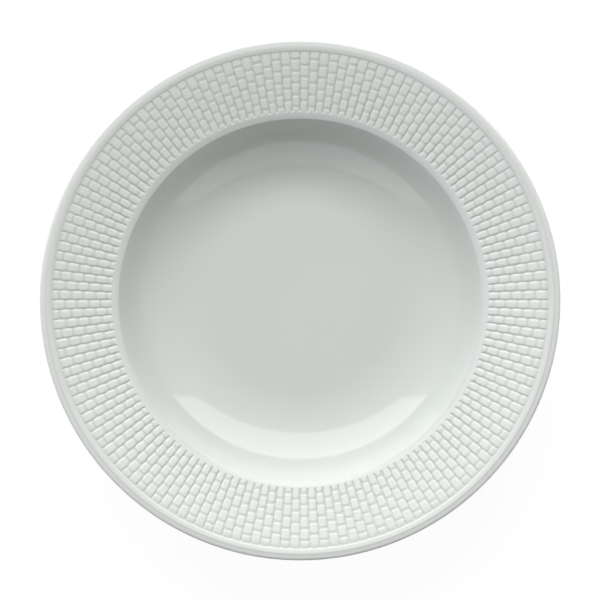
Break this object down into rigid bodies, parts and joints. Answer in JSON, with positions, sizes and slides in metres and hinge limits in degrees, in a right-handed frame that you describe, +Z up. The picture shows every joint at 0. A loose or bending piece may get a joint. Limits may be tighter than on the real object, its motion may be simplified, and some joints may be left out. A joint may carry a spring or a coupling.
{
  "type": "rimmed soup plate",
  "caption": "Round rimmed soup plate with a deep well, a basket-weave relief rim, a rolled lip and a bare standing ring under its foot.",
  "frame": {"origin": "on the plate's axis, in the plane of the standing ring under its foot", "axes": "+Z up along the plate's axis, out of the well"},
  "size_m": [0.25, 0.25, 0.0437],
  "materials": {
    "porcelain": "matte, fine-ground where it stands",
    "outer_glaze": "glossy",
    "recess_glaze": "glossy"
  },
  "bodies": {
    "root": {"porcelain_body": "porcelain", "outer_glaze": "outer_glaze", "recess_glaze": "recess_glaze"}
  },
  "joints": []
}
